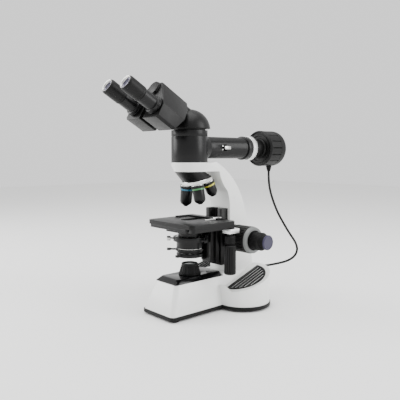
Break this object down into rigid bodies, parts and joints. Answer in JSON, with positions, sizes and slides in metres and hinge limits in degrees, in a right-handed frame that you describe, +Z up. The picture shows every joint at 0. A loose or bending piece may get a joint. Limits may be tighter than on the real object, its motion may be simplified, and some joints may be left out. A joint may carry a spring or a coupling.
{
  "type": "microscope",
  "caption": "Compound microscope with inclined binocular head, tilted nosepiece, mechanical stage, base light and a reflected-light lamp house at the back.",
  "frame": {"origin": "on the table, under the middle of the microscope without its lamp lead", "axes": "+Z up, -Y towards the user, +X to the user's right"},
  "size_m": [0.238, 0.4278, 0.4218],
  "materials": {
    "white_enamel": "smooth semi-gloss enamel",
    "black_enamel": "fine satin stoved enamel",
    "black_plastic": "fine moulded grain",
    "black_rubber": "matt",
    "bright_steel": "turned",
    "chrome": "polished",
    "aluminium": "satin turned",
    "lens_glass": "polished",
    "cord_rubber": "smooth matt jacket"
  },
  "bodies": {
    "stand": {"base_housing": "white_enamel", "base_plate": "black_enamel", "rubber_feet": "black_rubber", "top_panel": "black_plastic", "vent_grilles": "black_plastic", "field_lens": "lens_glass", "base_lamp": "black_plastic", "power_inlet": "black_plastic", "lead_socket": "black_plastic", "arm": "white_enamel", "focus_guide": "black_enamel", "nosepiece_mount": "black_enamel", "vertical_illuminator": "black_enamel", "beam_splitter": "lens_glass", "lamp_tube": "black_enamel", "lamp_coupling_ring": "aluminium", "lamp_house": "black_enamel", "lamp_bulb": "lens_glass", "cord_gland": "black_rubber", "lamp_lead": "cord_rubber"},
    "field_ring": {"field_ring": "black_plastic"},
    "power_switch": {"power_switch": "black_plastic"},
    "brightness_knob": {"brightness_knob": "black_plastic"},
    "coarse_drive": {"coarse_knob_right": "black_plastic", "coarse_knob_left": "black_plastic", "coarse_shaft": "bright_steel"},
    "fine_drive": {"fine_knob_right": "black_plastic", "fine_knob_left": "black_plastic", "fine_shaft": "bright_steel"},
    "tension_ring": {"tension_ring": "black_plastic"},
    "stage_carriage": {"focus_slide": "bright_steel", "stage_carrier": "black_enamel", "stage_lower_plate": "black_enamel"},
    "stage_top": {"stage_top_plate": "black_enamel", "control_bracket": "bright_steel"},
    "slide_holder": {"slide_holder": "black_enamel"},
    "slide_finger": {"slide_finger": "bright_steel"},
    "stage_x_knob": {"stage_x_knob": "black_plastic"},
    "stage_y_knob": {"stage_y_knob": "black_plastic"},
    "condenser": {"condenser_holder": "black_enamel", "condenser_body": "black_enamel", "condenser_lens": "lens_glass"},
    "centering_screw": {"centering_screw": "bright_steel"},
    "condenser_knob": {"condenser_focus_knob": "black_plastic"},
    "iris_lever": {"iris_lever": "black_enamel"},
    "filter_holder": {"filter_holder": "black_enamel"},
    "nosepiece": {"nosepiece_turret": "chrome", "objective_5x": "black_enamel", "objective_10x": "black_enamel", "objective_20x": "black_enamel", "objective_40x": "black_enamel"},
    "diaphragm_lever": {"diaphragm_lever": "bright_steel"},
    "head_clamp": {"head_clamp_screw": "black_plastic"},
    "head": {"head_body": "black_enamel"},
    "eye_right": {"prism_housing_right": "black_enamel", "eyetube_right": "black_enamel"},
    "eye_left": {"prism_housing_left": "black_enamel", "eyetube_left": "black_enamel"},
    "eyepiece_right": {"eyepiece_right": "black_plastic"},
    "eyepiece_left": {"eyepiece_left": "black_plastic"}
  },
  "joints": [
    {"name": "stage_focus", "type": "slide", "parent": "stand", "child": "stage_carriage", "axis": [0, 0, 1], "range_m": [-0.008, 0.0175]},
    {"name": "coarse_turn", "type": "hinge", "parent": "stand", "child": "coarse_drive", "pos_m": [0, 0.0462, 0.134], "axis": [1, 0, 0], "range_deg": [-180, 180]},
    {"name": "fine_turn", "type": "hinge", "parent": "stand", "child": "fine_drive", "pos_m": [0, 0.0462, 0.134], "axis": [1, 0, 0], "continuous": true},
    {"name": "tension_turn", "type": "hinge", "parent": "stand", "child": "tension_ring", "pos_m": [0, 0.0462, 0.134], "axis": [1, 0, 0], "range_deg": [0, 90]},
    {"name": "stage_y", "type": "slide", "parent": "stage_carriage", "child": "stage_top", "axis": [0, 1, 0], "range_m": [-0.022, 0.008]},
    {"name": "stage_y_turn", "type": "hinge", "parent": "stage_top", "child": "stage_y_knob", "pos_m": [0.072, -0.0068, 0.15], "axis": [0, 0, 1], "range_deg": [-180, 180]},
    {"name": "stage_x", "type": "slide", "parent": "stage_top", "child": "slide_holder", "axis": [1, 0, 0], "range_m": [-0.028, 0.012]},
    {"name": "stage_x_turn", "type": "hinge", "parent": "stage_top", "child": "stage_x_knob", "pos_m": [0.072, -0.0068, 0.1], "axis": [0, 0, 1], "range_deg": [-180, 180]},
    {"name": "finger_swing", "type": "hinge", "parent": "slide_holder", "child": "slide_finger", "pos_m": [0.04, -0.0048, 0.176], "axis": [0, 0, 1], "range_deg": [0, 30], "stiffness_Nm_per_rad": 0.02, "springref_deg": -11.46},
    {"name": "condenser_focus", "type": "slide", "parent": "stage_carriage", "child": "condenser", "axis": [0, 0, 1], "range_m": [-0.004, 0.009]},
    {"name": "condenser_turn", "type": "hinge", "parent": "stage_carriage", "child": "condenser_knob", "pos_m": [0, 0.0032, 0.118], "axis": [1, 0, 0], "range_deg": [-80, 160]},
    {"name": "centering_turn", "type": "hinge", "parent": "condenser", "child": "centering_screw", "pos_m": [0, -0.0428, 0.138], "axis": [-0.6691, -0.7431, 0], "continuous": true},
    {"name": "iris_turn", "type": "hinge", "parent": "condenser", "child": "iris_lever", "pos_m": [0, -0.0428, 0.1175], "axis": [0, 0, 1], "range_deg": [-40, 30]},
    {"name": "filter_swing", "type": "hinge", "parent": "condenser", "child": "filter_holder", "pos_m": [-0.02, -0.0338, 0.107], "axis": [0, 0, 1], "range_deg": [-90, 0]},
    {"name": "nosepiece_turn", "type": "hinge", "parent": "stand", "child": "nosepiece", "pos_m": [0, -0.02335, 0.24167], "axis": [0, -0.2334, 0.9724], "continuous": true},
    {"name": "field_ring_turn", "type": "hinge", "parent": "stand", "child": "field_ring", "pos_m": [0, -0.0428, 0.08], "axis": [0, 0, 1], "range_deg": [0, 80]},
    {"name": "power_rock", "type": "hinge", "parent": "stand", "child": "power_switch", "pos_m": [0.015, 0.1047, 0.034], "axis": [1, 0, 0], "range_deg": [-8, 0]},
    {"name": "brightness_turn", "type": "hinge", "parent": "stand", "child": "brightness_knob", "pos_m": [-0.045, -0.0628, 0.034], "axis": [1, 0, 0], "range_deg": [0, 270]},
    {"name": "diaphragm_turn", "type": "hinge", "parent": "stand", "child": "diaphragm_lever", "pos_m": [0, 0.0292, 0.309], "axis": [0, 1, 0], "range_deg": [-8, 8]},
    {"name": "head_clamp_turn", "type": "hinge", "parent": "stand", "child": "head_clamp", "pos_m": [-0.04, -0.0428, 0.3345], "axis": [1, 0, 0], "continuous": true},
    {"name": "head_swivel", "type": "hinge", "parent": "stand", "child": "head", "pos_m": [0, -0.0428, 0.345], "axis": [0, 0, 1], "continuous": true},
    {"name": "eye_distance_right", "type": "hinge", "parent": "head", "child": "eye_right", "pos_m": [0, -0.0428, 0.363], "axis": [0, -0.866, 0.5], "range_deg": [-4, 17]},
    {"name": "eye_distance_left", "type": "hinge", "parent": "head", "child": "eye_left", "pos_m": [0, -0.0428, 0.363], "axis": [0, -0.866, 0.5], "range_deg": [-17, 4]},
    {"name": "diopter_right", "type": "hinge", "parent": "eye_right", "child": "eyepiece_right", "pos_m": [0.0275, -0.0618, 0.33009], "axis": [0, -0.866, 0.5], "continuous": true},
    {"name": "diopter_left", "type": "hinge", "parent": "eye_left", "child": "eyepiece_left", "pos_m": [-0.0275, -0.0618, 0.33009], "axis": [0, -0.866, 0.5], "continuous": true}
  ],
  "couplings": [
    {"joint": "coarse_turn", "follows": "stage_focus", "rad_per_m": 165.35},
    {"joint": "stage_y_turn", "follows": "stage_y", "rad_per_m": -140},
    {"joint": "stage_x_turn", "follows": "stage_x", "rad_per_m": 110},
    {"joint": "condenser_turn", "follows": "condenser_focus", "rad_per_m": 209.44},
    {"joint": "eye_distance_left", "follows": "eye_distance_right", "ratio": -1}
  ]
}
